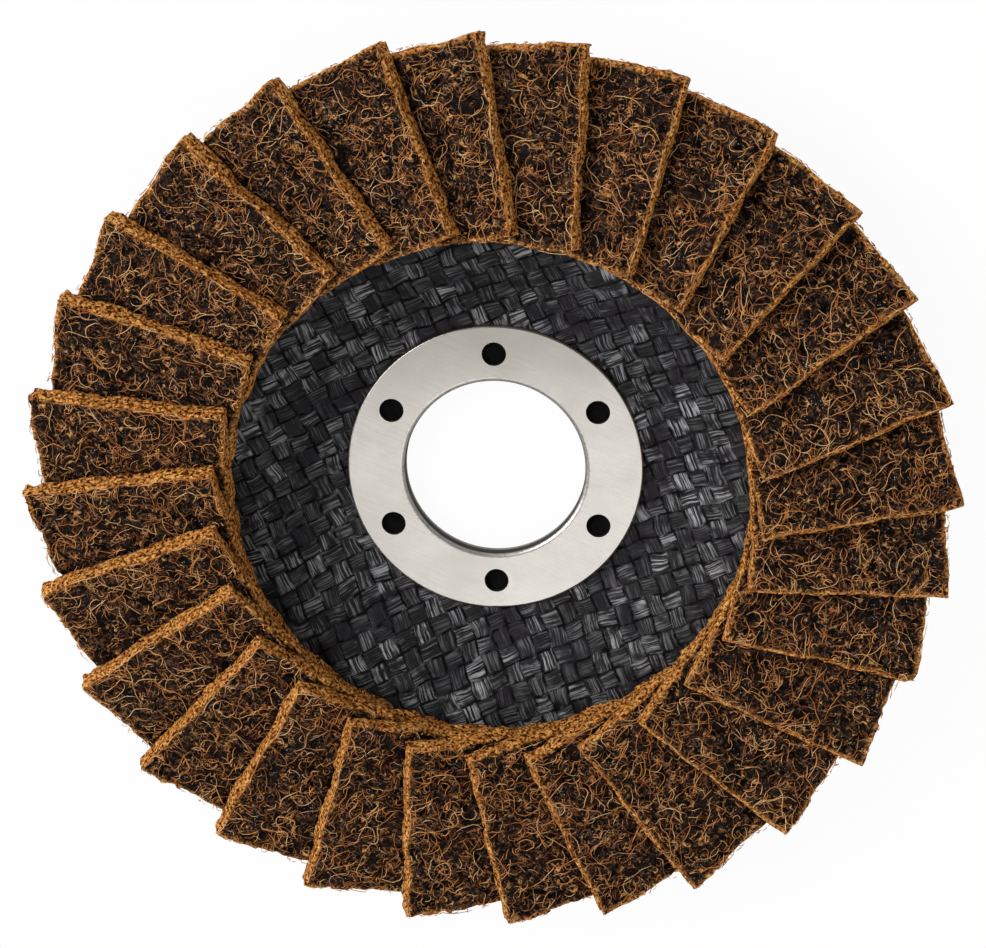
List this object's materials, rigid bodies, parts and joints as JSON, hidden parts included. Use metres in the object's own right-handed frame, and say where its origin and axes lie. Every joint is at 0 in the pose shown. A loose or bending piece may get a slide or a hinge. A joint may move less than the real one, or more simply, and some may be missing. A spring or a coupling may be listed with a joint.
{
  "type": "flap disc",
  "caption": "Flap disc with overlapping non-woven abrasive flaps on a dished woven-glass backing plate with a pressed steel centre ring.",
  "frame": {"origin": "centre of the bore on the backing plate's rear face, where the tool's flange seats", "axes": "+Z along the arbor towards the abrasive side; +Y the top of the disc as shown; one keying hole of the centre ring lies on +Y"},
  "size_m": [0.115, 0.115, 0.0182],
  "materials": {
    "plate": "woven glass in black resin, satin",
    "cloth": "black rovings under glossy resin",
    "adhesive": "dull cured resin",
    "ring": "fine brushed, bright",
    "flap": "non-woven fibre mat with brown resin and grain"
  },
  "bodies": {
    "root": {"backing_plate": "plate", "face_cloth": "cloth", "adhesive_bed": "adhesive", "centre_ring": "ring", "flap_01": "flap", "flap_02": "flap", "flap_03": "flap", "flap_04": "flap", "flap_05": "flap", "flap_06": "flap", "flap_07": "flap", "flap_08": "flap", "flap_09": "flap", "flap_10": "flap", "flap_11": "flap", "flap_12": "flap", "flap_13": "flap", "flap_14": "flap", "flap_15": "flap", "flap_16": "flap", "flap_17": "flap", "flap_18": "flap", "flap_19": "flap", "flap_20": "flap", "flap_21": "flap", "flap_22": "flap", "flap_23": "flap", "flap_24": "flap", "flap_25": "flap", "flap_26": "flap", "flap_27": "flap", "flap_28": "flap"}
  },
  "joints": []
}
